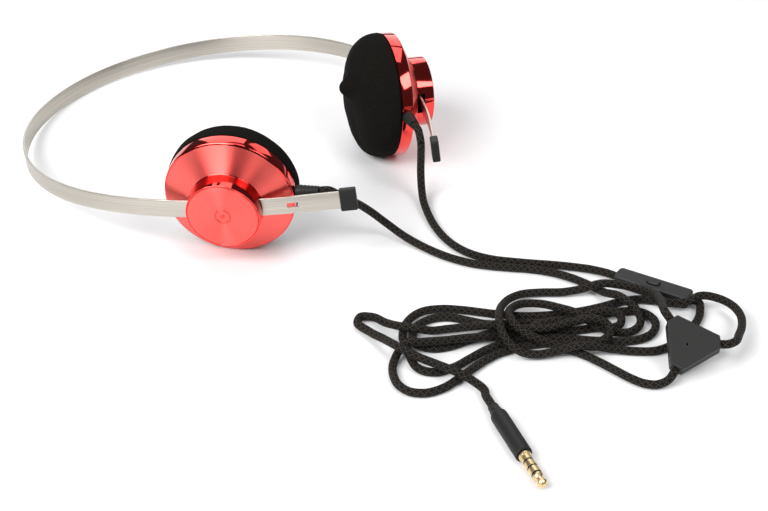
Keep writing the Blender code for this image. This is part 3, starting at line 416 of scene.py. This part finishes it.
mainCord = [
    (18.52, -207.62, 8.62), (20, -209.18, 8.6), (22.9, -209.78, 8.2),
    (29.5, -207.28, 6.7), (36, -203.98, 5.5), (41.1, -199.68, 5), (43.8, -194.58, 4.9),
    (43.8, -189.58, 5.1), (40, -183.68, 5.4), (36.4, -182.58, 4.8),
    (33.5, -178.98, 3.4), (32, -171.48, 1.8), (28.4, -166.28, 1.6),
    (22.7, -162.88, 1.5), (16.1, -160.08, 1.5), (9.9, -156.88, 1.5),
    (4.2, -153.08, 1.5), (-1, -148.98, 1.5), (-5.7, -144.28, 1.5),
    (-9.7, -138.98, 1.5), (-13, -133.38, 1.5), (-16.5, -127.68, 1.5),
    (-20.7, -122.28, 1.5), (-26.5, -118.48, 1.5), (-31.6, -118.28, 1.5),
    (-36.9, -120.18, 1.5), (-41.7, -123.78, 1.5), (-45.2, -128.98, 1.5),
    (-49.8, -135.98, 1.5), (-50.7, -138.08, 1.5), (-50.8, -140.38, 1.5),
    (-48.9, -144.18, 1.5), (-42.7, -147.08, 1.5), (-35.4, -147.78, 1.5),
    (-28.1, -148.48, 1.5), (-21.3, -150.48, 1.5), (-15.4, -153.78, 1.5),
    (-10, -157.68, 1.5), (-5.7, -162.58, 1.5), (-2.1, -167.88, 1.5),
    (1.8, -173.08, 1.5), (6.2, -177.98, 1.5), (11.9, -181.58, 1.5),
    (16.5, -182.18, 1.5), (21, -180.38, 1.5), (22.7, -178.68, 1.5),
    (23.7, -176.48, 1.5), (24.1, -174.18, 1.5), (23.7, -171.98, 1.5),
    (19.3, -166.88, 1.5), (13.5, -163.08, 1.5), (8, -159.28, 1.5), (2, -155.98, 1.5),
    (-3.5, -152.38, 1.5), (-8.1, -147.58, 1.5), (-13.1, -143.28, 1.5),
    (-17.4, -138.48, 1.5), (-20.1, -132.48, 1.5), (-23.3, -126.58, 1.5),
    (-26.9, -123.88, 1.5), (-31.4, -122.78, 1.5), (-36.3, -123.78, 1.5),
    (-40, -126.88, 1.5), (-41.1, -128.88, 1.5), (-41.3, -131.18, 1.5),
    (-39.6, -135.08, 1.5), (-34.2, -138.78, 1.5), (-27.7, -140.78, 1.5),
    (-21, -142.98, 1.5), (-14.7, -146.08, 1.5), (-9.5, -150.68, 1.5),
    (-6, -156.28, 1.5), (-0.2, -162.38, 1.5), (6.7, -167.28, 1.5), (9.5, -170.38, 1.5),
    (13.1, -171.58, 1.8), (15.7, -169.68, 2.6), (14.8, -166.58, 3.7),
    (9.6, -162.88, 3.9), (3.5, -160.08, 2.7), (-2.6, -157.28, 4.4),
    (-8.8, -154.38, 4.6), (-14, -150.78, 1.8), (-19.4, -147.28, 1.5),
    (-25.2, -144.38, 3.2), (-31.5, -141.28, 4.4), (-37.4, -137.48, 4.7),
    (-42.8, -132.98, 4.7), (-46.8, -129.98, 4.7), (-48.7, -129.48, 3.4),
    (-53.2, -130.78, 1.7), (-59.2, -136.08, 1.5), (-61.7, -140.68, 1.5),
    (-61.8, -145.48, 1.5), (-59.4, -149.18, 1.5), (-53.2, -151.98, 1.5),
    (-45.8, -152.28, 1.5), (-38.1, -151.98, 1.5), (-30.5, -152.18, 1.5),
    (-23.4, -153.68, 1.5), (-17.2, -156.58, 1.5), (-11.8, -160.38, 1.5),
    (-7.6, -165.28, 1.5), (-2.9, -172.18, 2.5), (-0, -174.68, 3.8),
    (3.4, -174.68, 4.9), (5.3, -171.98, 6), (3.8, -168.88, 7.3), (-1.6, -162.68, 5.9),
    (-8.9, -158.58, 5.2), (-13.7, -154.08, 5.2), (-16.9, -148.18, 4.7),
    (-20.6, -142.68, 4.7), (-23.8, -137.08, 2.9), (-28.3, -132.28, 2.1),
    (-34.3, -129.28, 3), (-38.2, -126.88, 4.6), (-40.6, -122.78, 4.7),
    (-40.9, -115.68, 2.9), (-40.7, -108.68, 1.9), (-42.9, -105.78, 1.7),
    (-46, -107.18, 1.7), (-47.6, -114.08, 2.2), (-49, -121.98, 3.8),
    (-51.1, -129.88, 6), (-49.7, -137.68, 4.9), (-48.4, -144.98, 4.8),
    (-47.2, -151.98, 4.8), (-45.2, -158.08, 2.9), (-45.1, -162.38, 1.8),
    (-47.1, -164.68, 2), (-49.3, -167.88, 2.8), (-50.76, -170.71, 2.85),
]
sleeve = {
    "diameter": 2.8 * mm,
    "step": 0.9 * mm,
    "sides": 16,
    "strands": 8,
    "pitch": 1.2 * mm,
    "stub": 8 * mm,
}


def smoothPath(points, step):
    # even steps on one smooth line through the points
    points = [Vector(point) * mm for point in points]
    points = [2 * points[0] - points[1]] + points + [2 * points[-1] - points[-2]]
    line = [points[1]]
    for before, start, end, after in zip(points, points[1:], points[2:], points[3:]):
        a, b, c = (start - before).length, (end - start).length, (after - end).length
        leaving = ((start - before) / a * b + (end - start) / b * a) / (a + b) * b
        arriving = ((end - start) / b * c + (after - end) / c * b) / (b + c) * b
        count = max(1, round(b / step))
        for i in range(1, count + 1):
            t = i / count
            line.append(
                start * (2 * t**3 - 3 * t**2 + 1)
                + leaving * (t**3 - 2 * t**2 + t)
                + end * (3 * t**2 - 2 * t**3)
                + arriving * (t**3 - t**2)
            )
    return line


def lengthOf(line):
    return sum((b - a).length for a, b in zip(line, line[1:]))


def cordPiece(name, line):
    # a tube along the line, its UV map counting strands along and around
    sides = sleeve["sides"]
    radius = sleeve["diameter"] / 2
    vertices, faces, along = [], [], [0]
    across = None
    for i, point in enumerate(line):
        tangent = (line[min(i + 1, len(line) - 1)] - line[max(i - 1, 0)]).normalized()
        if across is None:
            across = tangent.orthogonal().normalized()
        else:
            across = (across - tangent * across.dot(tangent)).normalized()
            along.append(along[-1] + (point - line[i - 1]).length / sleeve["pitch"])
        up = tangent.cross(across)
        for k in range(sides):
            angle = math.tau * k / sides
            vertices.append(point + (across * math.cos(angle) + up * math.sin(angle)) * radius)
    places = []
    for i in range(len(line) - 1):
        for k in range(sides):
            corners = [(i, k), (i, k + 1), (i + 1, k + 1), (i + 1, k)]
            faces.append([ring * sides + side % sides for ring, side in corners])
            places += [(along[ring], side / sides * sleeve["strands"]) for ring, side in corners]
    for ring in (0, len(line) - 1):
        faces.append([ring * sides + side for side in (range(sides) if ring else reversed(range(sides)))])
        places += [(along[ring], 0)] * sides
    mesh = bpy.data.meshes.new(name)
    mesh.from_pydata(vertices, [], faces)
    layer = mesh.uv_layers.new(name="sleeve")
    for loop, place in zip(layer.data, places):
        loop.uv = place
    mesh.materials.append(cordBraid)
    mesh.shade_smooth()
    piece = bpy.data.objects.new(name, mesh)
    bpy.context.scene.collection.objects.link(piece)
    return piece


def pickOnly(piece):
    bpy.ops.object.select_all(action="DESELECT")
    piece.select_set(True)
    bpy.context.view_layer.objects.active = piece


def facesOut(piece):
    pickOnly(piece)
    bpy.ops.object.mode_set(mode="EDIT")
    bpy.ops.mesh.select_all(action="SELECT")
    bpy.ops.mesh.normals_make_consistent(inside=False)
    bpy.ops.object.mode_set(mode="OBJECT")


# The two branches: a short stub at the strain relief,
# then a length that bends down to the table

for side, points, settle in (
    ("left", leftBranch, (0.004, -0.102, 0.002)),
    ("right", rightBranch, (0.0115, -0.1, 0.002)),
):
    line = smoothPath(points, sleeve["step"])
    cut = next(i for i in range(len(line)) if lengthOf(line[: i + 1]) > sleeve["stub"])
    stub = cordPiece(side + "BranchStub", line[: cut + 1])
    branch = cordPiece(side + "Branch", line[cut:])
    for piece in (stub, branch):
        facesOut(piece)
    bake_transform(stub)
    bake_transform(branch)
    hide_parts(side + "_branch")

mainLine = smoothPath(mainCord, sleeve["step"])
remoteLine = smoothPath(remoteBranch, sleeve["step"])
mainPiece = cordPiece("mainCord", mainLine)
remotePiece = cordPiece("remoteBranch", remoteLine)
for piece, node in ((mainPiece, "main_cord"), (remotePiece, "remote_branch")):
    facesOut(piece)
    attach(piece, "headband")
    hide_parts(node)
print("cable")


# Turned pieces: a profile of (radius, height) points, extruded from one vertex and spun


def soften(profile, amount, closed=True):
    # cuts each corner with a short curve
    points = [Vector(point) for point in profile]
    softened = []
    for i, corner in enumerate(points):
        before, after = points[i - 1], points[(i + 1) % len(points)]
        if (not closed and i in (0, len(points) - 1)) or corner.x < 1e-9:
            softened.append(tuple(corner))
            continue
        a, b = before - corner, after - corner
        reach = min(amount, 0.4 * a.length, 0.4 * b.length)
        start, end = corner + a.normalized() * reach, corner + b.normalized() * reach
        for t in (0, 0.33, 0.67, 1):
            softened.append(tuple(start * (1 - t) ** 2 + corner * 2 * t * (1 - t) + end * t**2))
    return softened


def spunPiece(name, profile, finish, steps=96):
    bpy.ops.object.select_all(action="DESELECT")
    bpy.ops.mesh.primitive_plane_add(size=1 * mm)
    piece = bpy.context.object
    piece.name = piece.data.name = name
    bpy.ops.object.mode_set(mode="EDIT")
    bpy.ops.mesh.select_all(action="SELECT")
    bpy.ops.mesh.merge(type="CENTER")
    path = [(0, 0)] + list(profile)
    if profile[0][0] > 1e-9 or profile[-1][0] > 1e-9:
        path.append(profile[0])
    bpy.ops.transform.translate(value=(path[1][0], 0, path[1][1]))
    for (r, h), (nextR, nextH) in zip(path[1:], path[2:]):
        bpy.ops.mesh.extrude_vertices_move(TRANSFORM_OT_translate={"value": (nextR - r, 0, nextH - h)})
    bpy.ops.mesh.select_all(action="SELECT")
    bpy.ops.mesh.spin(steps=steps, angle=math.tau, center=(0, 0, 0), axis=(0, 0, 1))
    bpy.ops.mesh.select_all(action="SELECT")
    bpy.ops.mesh.remove_doubles(threshold=0.002 * mm)
    bpy.ops.mesh.normals_make_consistent(inside=False)
    bpy.ops.object.mode_set(mode="OBJECT")
    mesh = piece.data
    while mesh.uv_layers:
        mesh.uv_layers.remove(mesh.uv_layers[0])
    layer = mesh.uv_layers.new(name="turned")
    for polygon in mesh.polygons:
        middle = math.atan2(polygon.center.y, polygon.center.x)
        for index in polygon.loop_indices:
            place = mesh.vertices[mesh.loops[index].vertex_index].co
            angle = math.atan2(place.y, place.x) if place.xy.length > 1e-7 else middle
            angle = middle + (angle - middle + math.pi) % math.tau - math.pi
            layer.data[index].uv = (angle / math.tau, place.xy.length + place.z)
    ring = mesh.attributes.new("ringAt", "FLOAT_VECTOR", "POINT")
    for vertex, value in zip(mesh.vertices, ring.data):
        value.vector = (vertex.co.xy.length, 0, vertex.co.z)
    mesh.materials.clear()
    mesh.materials.append(finish)
    return piece


def boxCutter(low, high):
    bpy.ops.object.select_all(action="DESELECT")
    bpy.ops.mesh.primitive_cube_add(
        size=1,
        location=[(a + b) / 2 for a, b in zip(low, high)],
        scale=[b - a for a, b in zip(low, high)],
    )
    return bpy.context.object


def cutWith(piece, cutter):
    modifier = piece.modifiers.new("cut", "BOOLEAN")
    modifier.operation = "DIFFERENCE"
    modifier.object = cutter
    pickOnly(piece)
    bpy.ops.object.modifier_apply(modifier="cut")
    bpy.data.objects.remove(cutter)


def finishPiece(piece, matrix, body, angle=30, replaced=()):
    pickOnly(piece)
    bpy.ops.object.shade_smooth_by_angle(angle=math.radians(angle))
    piece.matrix_world = matrix
    bpy.ops.object.transform_apply(location=True, rotation=True, scale=True)
    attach(piece, body)
    if replaced:
        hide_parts(*replaced)


def frameAt(place, xAxis, zAxis):
    xAxis, zAxis = Vector(xAxis).normalized(), Vector(zAxis).normalized()
    yAxis = zAxis.cross(xAxis)
    rows = Matrix((xAxis, yAxis, zAxis)).transposed()
    return Matrix.Translation(place) @ rows.to_4x4()


# Cups

cup = {
    "hub": 13 * mm,
    "hubInner": 11.6 * mm,
    "lipInner": 12.45 * mm,
    "hubTop": 4.55 * mm,
    "ledge": 3.55 * mm,
    "coneTop": -1.8 * mm,
    "rim": 23 * mm,
    "rimFront": -6.6 * mm,
    "rimBack": -10.8 * mm,
    "rimWall": 1.1 * mm,
    "slot": (3.72 * mm, -1.85 * mm, 0.95 * mm),
    "notch": (1.6 * mm, -7.35 * mm),
    "edge": 0.3 * mm,
    "steps": 128,
}


def makeShell(side, matrix):
    profile = [
        (cup["lipInner"], cup["hubTop"]),
        (cup["hub"], cup["hubTop"]),
        (cup["hub"], cup["coneTop"]),
        (cup["rim"] - 0.6 * mm, cup["rimFront"] + 0.4 * mm),
        (cup["rim"], cup["rimFront"]),
        (cup["rim"], cup["rimBack"]),
        (cup["rim"] - cup["rimWall"], cup["rimBack"]),
        (cup["rim"] - cup["rimWall"], cup["rimFront"] - 0.58 * mm),
        (cup["hubInner"], cup["coneTop"] - 0.56 * mm),
        (cup["hubInner"], cup["ledge"]),
        (cup["lipInner"], cup["ledge"]),
    ]
    shell = spunPiece(side + "CupShell", soften(profile, cup["edge"]), polishedRed, cup["steps"])
    width, low, high = cup["slot"]
    cutWith(shell, boxCutter((-cup["hub"] - mm, -width, low), (cup["hub"] + mm, width, high)))
    width, top = cup["notch"]
    notchStart, notchEnd = (cup["rim"] - 3 * mm, -width, cup["rimBack"] - mm), (cup["rim"] + mm, width, top)
    cutWith(shell, boxCutter(notchStart, notchEnd))
    shell.data.materials.append(turnedRed)
    for polygon in shell.data.polygons:
        radius, height = polygon.center.xy.length, polygon.center.z
        onCone = cup["hub"] + 0.2 * mm < radius < cup["rim"] - 0.7 * mm
        if onCone and height > cup["rimFront"] + 0.2 * mm and polygon.normal.z > 0.3:
            polygon.material_index = 1
    finishPiece(shell, matrix, "cup_" + side, replaced=[side + "_cup_shell"])


hubCap = {"radius": 12.38 * mm, "top": 4.7 * mm, "disc": 0.95 * mm, "edge": 0.22 * mm}
hubMark = {"radius": 2.9 * mm, "width": 0.5 * mm, "height": 0.14 * mm, "dot": 0.8 * mm}


def makeHubCap(side, matrix):
    low, high, radius, edge = hubCap["top"] - hubCap["disc"], hubCap["top"], hubCap["radius"], hubCap["edge"]
    profile = [(0, low), (radius, low), (radius, high - edge), (radius - edge * 0.3, high - edge * 0.3)]
    profile += [(radius - edge, high)] + [(radius * share, high) for share in (0.8, 0.6, 0.4, 0.2, 0)]
    cap = spunPiece(side + "HubCap", profile, turnedRed, cup["steps"])
    finishPiece(cap, matrix, "cup_" + side, replaced=[side + "_hub_cap"])
    # a plain raised ring and dot
    inner, outer, top = hubMark["radius"] - hubMark["width"], hubMark["radius"], high + hubMark["height"]
    sink = high - 0.1 * mm
    ring = [(inner, sink), (outer, sink), (outer, top), (inner, top)]
    dot = [(0, sink), (hubMark["dot"], sink), (hubMark["dot"], top), (0, top)]
    for name, profile in (("HubRing", ring), ("HubDot", dot)):
        mark = spunPiece(side + name, soften(profile, 0.1 * mm), polishedRed, 48)
        finishPiece(mark, matrix, "cup_" + side)


pad = {
    "outline": [
        (0, -24.1), (1.2, -24.1), (2.4, -24.1), (3.6, -24.08), (4.8, -24.05), (6, -24),
        (7.2, -23.95), (8.6, -23.9), (10, -23.8), (12, -23.6), (14.5, -23.15), (17.5, -22.1),
        (20, -20.5), (21.8, -18.6), (22.8, -16.5), (23.2, -14.4), (23.3, -12.7),
        (23.25, -11.4), (23, -11.15),
    ],
    "underside": [
        (22.7, -11.15), (22.7, -12.5), (19.4, -12.5), (19.4, -13.6),
        (15.9, -13.6), (15.5, -14.7), (0, -14.7),
    ],
    "nub": {"left": (0, 0), "right": (1.2 * mm, -4.8 * mm)},
    "nubHeight": 4.2 * mm,
    "nubRadius": 3.4 * mm,
    "swell": {"left": 0.35 * mm, "right": 0.75 * mm},
    "pores": 0.07 * mm,
    "faceFrom": -14.75 * mm,
    "sideFrom": 22.9 * mm,
    "fadeFrom": -12.5 * mm,
    "fadeOver": 4 * mm,
    "crown": (14 * mm, 1.5),
    "coarse": 75,
    "middling": 190,
    "fine": 1500,
    "noiseFrom": {"left": 3.1, "right": 7.7},
    "steps": 96,
    "smoothAngle": 180,
}


def makePad(side, matrix):
    outline = [(r * mm, h * mm) for r, h in pad["outline"]]
    underside = [(r * mm, h * mm) for r, h in pad["underside"]]
    piece = spunPiece(side + "EarPad", outline + underside, padFoam, pad["steps"])
    offset = pad["noiseFrom"][side]
    crown, depth = pad["crown"]
    for vertex in piece.data.vertices:
        radius, height = vertex.co.xy.length, vertex.co.z
        onFace = height < pad["faceFrom"] or radius > pad["sideFrom"]
        if not onFace:
            continue
        share = min(1, max(0, (pad["fadeFrom"] - height) / pad["fadeOver"]))
        slow = noise.noise(vertex.co * pad["coarse"] + Vector((offset, 0, 0)))
        slow += 0.5 * noise.noise(vertex.co * pad["middling"] + Vector((0, offset, 0)))
        fine = noise.noise(vertex.co * pad["fine"] + Vector((0, 0, offset)))
        out = Vector((vertex.co.x, vertex.co.y, min(0, height + crown) * depth)).normalized()
        away = (vertex.co.xy - Vector(pad["nub"][side])).length / pad["nubRadius"]
        vertex.co.z -= pad["nubHeight"] * share / (1 + away**4)
        vertex.co += out * (share * pad["swell"][side] * slow - abs(fine) * pad["pores"])
    modifier = piece.modifiers.new("smooth", "SUBSURF")
    modifier.levels = modifier.render_levels = 1
    pickOnly(piece)
    bpy.ops.object.modifier_apply(modifier="smooth")
    finishPiece(piece, matrix, "cup_" + side, pad["smoothAngle"], replaced=[side + "_ear_pad"])


relief = {
    "axis": -8.95 * mm,
    "neck": 1.3 * mm,
    "root": 2.2 * mm,
    "end": 1.65 * mm,
    "rib": 0.14 * mm,
    "ribs": 5,
    "flange": 1.8 * mm,
    "flangeFrom": 19.2 * mm,
    "flangeTo": 20.1 * mm,
    "rootFrom": 23.5 * mm,
    "rootTo": 25.2 * mm,
    "tip": 31.4 * mm,
    "edge": 0.12 * mm,
}


def makeRelief(side, matrix):
    inner, outer = relief["flangeFrom"], relief["flangeTo"]
    foot, root, end = relief["rootFrom"], relief["rootTo"], relief["tip"]
    profile = [(0, inner), (relief["flange"], inner), (relief["flange"], outer), (relief["neck"], outer)]
    profile += [(relief["neck"], foot), (relief["root"], foot), (relief["root"], root)]
    count = relief["ribs"]
    for i in range(count):
        for share, dip in ((0.25, 0), (0.4, 1), (0.8, 1), (0.95, 0)):
            along = (i + share) / count
            radius = relief["root"] + (relief["end"] - relief["root"]) * along - dip * relief["rib"]
            profile.append((radius, root + (end - root) * along))
    profile += [(relief["end"], end), (0, end)]
    place = matrix @ Matrix.Translation((0, 0, relief["axis"])) @ Matrix.Rotation(math.pi / 2, 4, "Y")
    piece = spunPiece(side + "StrainRelief", soften(profile, relief["edge"]), capRubber, 48)
    finishPiece(piece, place, "cup_" + side, replaced=[side + "_strain_relief"])


for side in ("left", "right"):
    joint = joints[side + "_tilt"]
    matrix = frameAt(joint["pos_m"], joint["axis"], mounts[side + "_hub_face"]["axis"])
    makeShell(side, matrix)
    makeHubCap(side, matrix)
    makePad(side, matrix)
    makeRelief(side, matrix)
print("cups")


# Headband: the same bend on both sides of the crown

band = {
    "length": 443.4 * mm,
    "height": 6.4 * mm,
    "thickness": 0.8 * mm,
    "straight": 18 * mm,
    "leg": (68 * mm, 161.6 * mm),
    "shoulder": (110.6 * mm, 69.5 * mm),
    "crown": 72.1 * mm,
    "place": (0, 82.62 * mm, 3.67 * mm),
    "window": (20.5 * mm, 4.2 * mm, 1.7 * mm),
    "step": 1 * mm,
}


def bendAt(arc):
    legEnd, legRadius = band["leg"]
    shoulderAt, shoulderRadius = band["shoulder"]
    if arc < band["straight"]:
        return 0
    if arc < legEnd:
        return 1 / legRadius
    if arc < shoulderAt:
        share = (arc - legEnd) / (shoulderAt - legEnd)
        return (1 - share) / legRadius + share / shoulderRadius
    share = (arc - shoulderAt) / (band["length"] / 2 - shoulderAt)
    return (1 - share) / shoulderRadius + share / band["crown"]


def legLine():
    # (x, y, heading) from the crown to the right tip
    places = [(0, 0, 0)]
    half = band["length"] / 2
    count = round(half / band["step"])
    step = half / count
    for i in range(count):
        x, y, heading = places[-1]
        bend = bendAt(half - (i + 0.5) * step)
        x += math.cos(heading - bend * step / 2) * step
        y += math.sin(heading - bend * step / 2) * step
        places.append((x, y, heading - bend * step))
    return places


def makeBand():
    right = legLine()
    line = [(-x, y) for x, y, heading in reversed(right[1:])] + [(x, y) for x, y, heading in right]
    curve = bpy.data.curves.new("headband", "CURVE")
    curve.dimensions = "2D"
    curve.fill_mode = "NONE"
    curve.extrude = band["height"] / 2
    spline = curve.splines.new("POLY")
    spline.points.add(len(line) - 1)
    for point, (x, y) in zip(spline.points, line):
        point.co = (x, y, 0, 1)
    ribbon = bpy.data.objects.new("bandStrip", curve)
    bpy.context.scene.collection.objects.link(ribbon)
    pickOnly(ribbon)
    bpy.ops.object.convert(target="MESH")
    ribbon = bpy.context.object
    mesh = ribbon.data
    while mesh.uv_layers:
        mesh.uv_layers.remove(mesh.uv_layers[0])
    layer = mesh.uv_layers.new(name="lengthwise")
    middle = Vector((0, -band["crown"]))
    for loop, data in zip(mesh.loops, layer.data):
        place = mesh.vertices[loop.vertex_index].co
        away = place.xy - middle
        data.uv = (math.atan2(away.x, away.y), place.z / band["height"])
    for kind, settings in (
        ("SOLIDIFY", {"thickness": band["thickness"], "offset": 0, "use_even_offset": True}),
        (
            "BEVEL",
            {"width": 0.14 * mm, "segments": 3, "limit_method": "ANGLE", "angle_limit": math.radians(40)},
        ),
    ):
        modifier = ribbon.modifiers.new(kind, kind)
        for label, value in settings.items():
            setattr(modifier, label, value)
        pickOnly(ribbon)
        bpy.ops.object.modifier_apply(modifier=kind)
    arc, length, height = band["window"]
    index = round((band["length"] / 2 - arc) / band["step"])
    x, y, heading = right[index]
    for sign in (-1, 1):
        window = boxCutter((-length / 2, -2 * mm, -height / 2), (length / 2, 2 * mm, height / 2))
        modifier = window.modifiers.new("ends", "BEVEL")
        modifier.width = 0.35 * mm
        modifier.segments = 6
        modifier.affect = "EDGES"
        modifier.limit_method = "NONE"
        window.rotation_euler = (0, 0, sign * heading)
        window.location = (sign * x, y, 0)
        bpy.context.view_layer.update()
        cutWith(ribbon, window)
    facesOut(ribbon)
    ribbon.data.materials.clear()
    ribbon.data.materials.append(bandSteel)
    plane = Matrix.Translation(band["place"]) @ bandTurn.to_4x4()
    finishPiece(ribbon, plane, "headband", replaced=["headband"])


makeBand()
print("headband")


# Plug: a soft grip, and a plated jack of four contacts

plug = {
    "place": (-50.9 * mm, -170.98 * mm, 2.85 * mm),
    "heading": math.radians(-117.2),
    "grip": 25.3 * mm,
    "radius": 2.8 * mm,
    "jack": 1.75 * mm,
    "collar": 26.6 * mm,
    "rings": (2.2 * mm, 5.3 * mm, 8.4 * mm),
    "ring": 0.5 * mm,
    "bore": 0.95 * mm,
    "length": 14 * mm,
}


def makePlug():
    place = (
        Matrix.Translation(plug["place"])
        @ Matrix.Rotation(plug["heading"], 4, "Z")
        @ Matrix.Rotation(math.pi / 2, 4, "Y")
    )
    full, jack, bore = plug["radius"], plug["jack"], plug["bore"]
    grip = [
        (0, 0), (1.75 * mm, 0), (1.8 * mm, 0.8 * mm), (1.62 * mm, 1.1 * mm),
        (1.85 * mm, 1.5 * mm), (2.1 * mm, 3.5 * mm), (full - 0.1 * mm, 4.8 * mm), (full, 6 * mm),
        (full, plug["grip"] - 0.3 * mm), (full - 0.3 * mm, plug["grip"]), (0, plug["grip"]),
    ]
    base = plug["collar"]
    first, second, third = [base + start for start in plug["rings"]]
    start, end, gap = third + plug["ring"] + 0.1 * mm, base + plug["length"], 0.1 * mm
    collar = base - mm
    sleevePart = [
        (bore, collar), (jack + 0.3 * mm, collar), (jack + 0.3 * mm, base - 0.2 * mm),
        (jack, base - 0.1 * mm), (jack, first - gap), (bore, first - gap),
    ]
    tip = [
        (0, start + 1.4 * mm), (bore, start + 1.4 * mm), (bore, start), (jack - 0.05 * mm, start),
        (jack - 0.05 * mm, start + 0.8 * mm), (1.2 * mm, start + 1.7 * mm), (1.2 * mm, start + 2.2 * mm),
        (1.6 * mm, start + 3.6 * mm), (1.6 * mm, start + 4 * mm), (1.1 * mm, end - 0.35 * mm),
        (0.5 * mm, end), (0, end),
    ]
    pieces = [
        ("plugGrip", grip, capRubber, "black_rubber", "plug_grip", 0.25 * mm),
        ("plugSleeve", sleevePart, goldPlate, "gold_plate", "plug_sleeve", 0.08 * mm),
        ("plugTip", tip, goldPlate, "gold_plate", "plug_tip", 0.2 * mm),
    ]
    for name, node, low, high in (
        ("plugRing2", "plug_ring_2", first, second),
        ("plugRing1", "plug_ring_1", second, third),
    ):
        low, high = low + plug["ring"] + gap, high - gap
        contact = [(bore, low), (jack, low), (jack, high), (bore, high)]
        pieces.append((name, contact, goldPlate, "gold_plate", node, 0.06 * mm))
    made = []
    for name, profile, finish, slotName, node, edge in pieces:
        piece = spunPiece(name, soften(profile, edge), finish, 64)
        finishPiece(piece, place, "headband", replaced=[node])
        made.append(piece)
    return made


plugPieces = makePlug()
print("plug")

# Finishes of the pieces carried over from the frame

slotFinish = {
    "band_steel": bandSteel,
    "black_rubber": capRubber,
    "red_aluminium": polishedRed,
    "turned_red_aluminium": turnedRed,
    "frame_plastic": framePlastic,
    "guide_plastic": framePlastic,
    "bright_steel": brightSteel,
    "plated_magnet": platedMagnet,
    "driver_film": driverFilm,
    "pad_foam": padFoam,
    "cord_braid": cordBraid,
    "housing_plastic": housingPlastic,
    "board_laminate": boardLaminate,
    "gold_plate": goldPlate,
    "ring_plastic": ringPlastic,
}
for part in record["subparts"]:
    for slot in frame["nodes"][part["node"]].material_slots:
        slot.material = slotFinish[part["material_slot"]]
print("finishes")

# Floor and studio light

studio = {
    "floor": 8,
    "floorColour": (0.86, 0.86, 0.865, 1),
    "roomColour": (0.95, 0.95, 1, 1),
    "roomLight": 0.07,
    "boxes": [
        # azimuth, elevation and distance from the object, size, radiance
        (-178, 42, 1.3, (0.95, 0.8), 9),
        (-90, 46, 1.4, (0.6, 0.55), 7),
        (50, 30, 1.3, (0.9, 1), 1.8),
        (6, 32, 1.3, (0.42, 0.5), 1.2),
        (45, 72, 1.6, (1, 1), 2),
    ],
}


def makeStudio():
    bpy.ops.object.select_all(action="DESELECT")
    bpy.ops.mesh.primitive_plane_add(size=studio["floor"], location=(0, 0, 0))
    floor = bpy.context.object
    floor.name = "floor"
    material = bpy.data.materials.new("paleFloor")
    material.use_nodes = True
    shader = material.node_tree.nodes["Principled BSDF"]
    shader.inputs["Base Color"].default_value = studio["floorColour"]
    shader.inputs["Roughness"].default_value = 0.5
    shader.inputs["Specular IOR Level"].default_value = 0.3
    floor.data.materials.append(material)
    world = bpy.data.worlds.new("studio")
    world.use_nodes = True
    bpy.context.scene.world = world
    background = world.node_tree.nodes["Background"]
    background.inputs["Color"].default_value = studio["roomColour"]
    background.inputs["Strength"].default_value = studio["roomLight"]
    for azimuth, elevation, distance, size, radiance in studio["boxes"]:
        around, above = math.radians(azimuth), math.radians(elevation)
        level = math.cos(above)
        toLight = Vector((level * math.cos(around), level * math.sin(around), math.sin(above)))
        bpy.ops.object.light_add(type="AREA", location=toLight * distance)
        light = bpy.context.object
        light.data.shape = "RECTANGLE"
        light.data.size, light.data.size_y = size
        light.data.energy = radiance * math.pi * size[0] * size[1]
        light.rotation_euler = (-toLight).to_track_quat("-Z", "Y").to_euler()
    settings = bpy.context.scene.view_settings
    settings.view_transform = "Standard"
    settings.look = "None"
    settings.exposure = 0


makeStudio()
print("studio")
